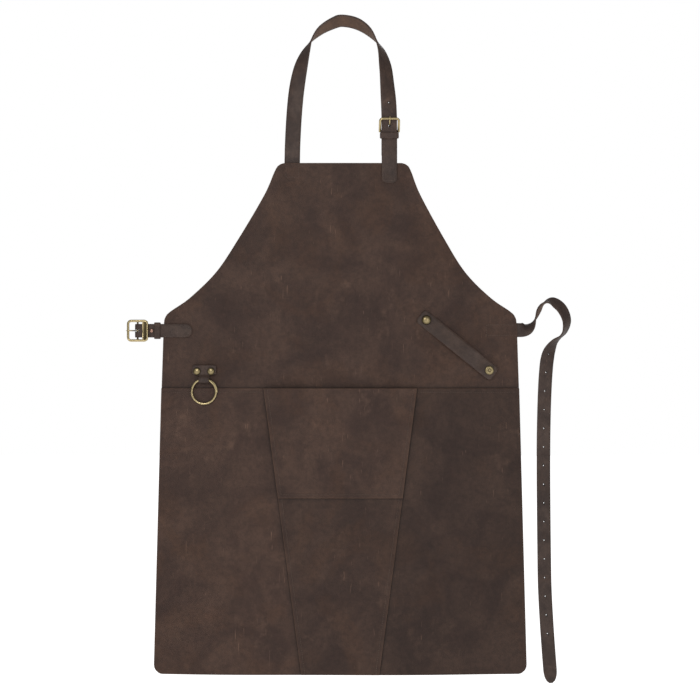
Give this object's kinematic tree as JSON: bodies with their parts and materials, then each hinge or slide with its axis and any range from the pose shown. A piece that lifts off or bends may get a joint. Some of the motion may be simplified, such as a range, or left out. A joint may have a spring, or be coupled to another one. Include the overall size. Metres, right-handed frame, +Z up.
{
  "type": "welding apron",
  "caption": "Dark leather bib apron with centre pocket, buckled neck strap, buckled waist straps, hanging ring and snap towel strap.",
  "frame": {"origin": "the point inside the top of the neck loop that the apron hangs from", "axes": "+Z up as worn, the grain side faces -Y, +X to the viewer's right from the front"},
  "size_m": [0.7168, 0.0764, 1.0747],
  "materials": {
    "oiled_leather": "dark brown oiled pull-up leather, grain side out, scuffed",
    "strap_leather": "dark grey-brown strap leather with a warm brown flesh side",
    "antique_brass": "antique brass, polished where it is rubbed and dark in its recesses",
    "copper": "dull browned copper rivet",
    "waxed_thread": "waxed thread in the leather's own brown"
  },
  "bodies": {
    "apron": {"bib_panel": "oiled_leather", "skirt_left_panel": "oiled_leather", "skirt_right_panel": "oiled_leather", "skirt_centre_panel": "oiled_leather", "centre_pocket": "oiled_leather", "waist_seam_thread_left": "waxed_thread", "waist_seam_thread_right": "waxed_thread", "gore_thread_left": "waxed_thread", "gore_thread_right": "waxed_thread", "pocket_thread": "waxed_thread", "neck_strap": "strap_leather", "neck_buckle_strap": "strap_leather", "neck_buckle_frame": "antique_brass", "neck_prong": "antique_brass", "ring_tab": "strap_leather", "tab_left_rivet": "antique_brass", "tab_left_washer": "antique_brass", "tab_right_rivet": "antique_brass", "tab_right_washer": "antique_brass", "towel_strap_end": "strap_leather", "towel_rivet": "antique_brass", "towel_washer": "antique_brass", "towel_snap_stud": "antique_brass", "waist_buckle_strap_root": "strap_leather", "waist_strap_root": "strap_leather", "neck_strap_thread": "waxed_thread", "neck_buckle_thread": "waxed_thread", "waist_strap_thread": "waxed_thread", "waist_buckle_thread": "waxed_thread"},
    "neck_keeper_body": {"neck_keeper": "strap_leather"},
    "ring_body": {"hanging_ring": "antique_brass"},
    "towel_flap": {"towel_strap_flap": "strap_leather", "towel_snap_cap": "antique_brass", "towel_snap_socket": "antique_brass"},
    "buckle_strap_body": {"waist_buckle_strap": "strap_leather", "waist_rivet": "copper", "waist_rivet_washer": "copper", "waist_keeper": "strap_leather"},
    "buckle_body": {"waist_buckle_frame": "antique_brass"},
    "prong_body": {"waist_prong": "antique_brass"},
    "waist_strap_body": {"waist_strap": "strap_leather"}
  },
  "joints": [
    {"name": "neck_keeper_slide", "type": "slide", "parent": "apron", "child": "neck_keeper_body", "axis": [0, 0, -1], "range_m": [0, 0.022]},
    {"name": "ring_swing", "type": "hinge", "parent": "apron", "child": "ring_body", "pos_m": [-0.21859, -0.00377, -0.56737], "axis": [-0.9897, 0.1435, 0], "range_deg": [0, 140]},
    {"name": "towel_strap_lift", "type": "hinge", "parent": "apron", "child": "towel_flap", "pos_m": [0.14841, -0.00968, -0.48017], "axis": [-0.6254, -0.0619, -0.7778], "range_deg": [0, 100]},
    {"name": "buckle_strap_fold", "type": "hinge", "parent": "apron", "child": "buckle_strap_body", "pos_m": [-0.28693, 0.0131, -0.4885], "axis": [0, 0, -1], "range_deg": [0, 70]},
    {"name": "waist_buckle_swing", "type": "hinge", "parent": "buckle_strap_body", "child": "buckle_body", "pos_m": [-0.32577, 0.0225, -0.4885], "axis": [0, 0, -1], "range_deg": [0, 40]},
    {"name": "waist_prong_swing", "type": "hinge", "parent": "buckle_body", "child": "prong_body", "pos_m": [-0.32577, 0.0225, -0.4885], "axis": [0, 0, 1], "range_deg": [0, 75]},
    {"name": "waist_strap_fold", "type": "hinge", "parent": "apron", "child": "waist_strap_body", "pos_m": [0.287, 0.01826, -0.4875], "axis": [0, 0, 1], "range_deg": [0, 70]}
  ]
}
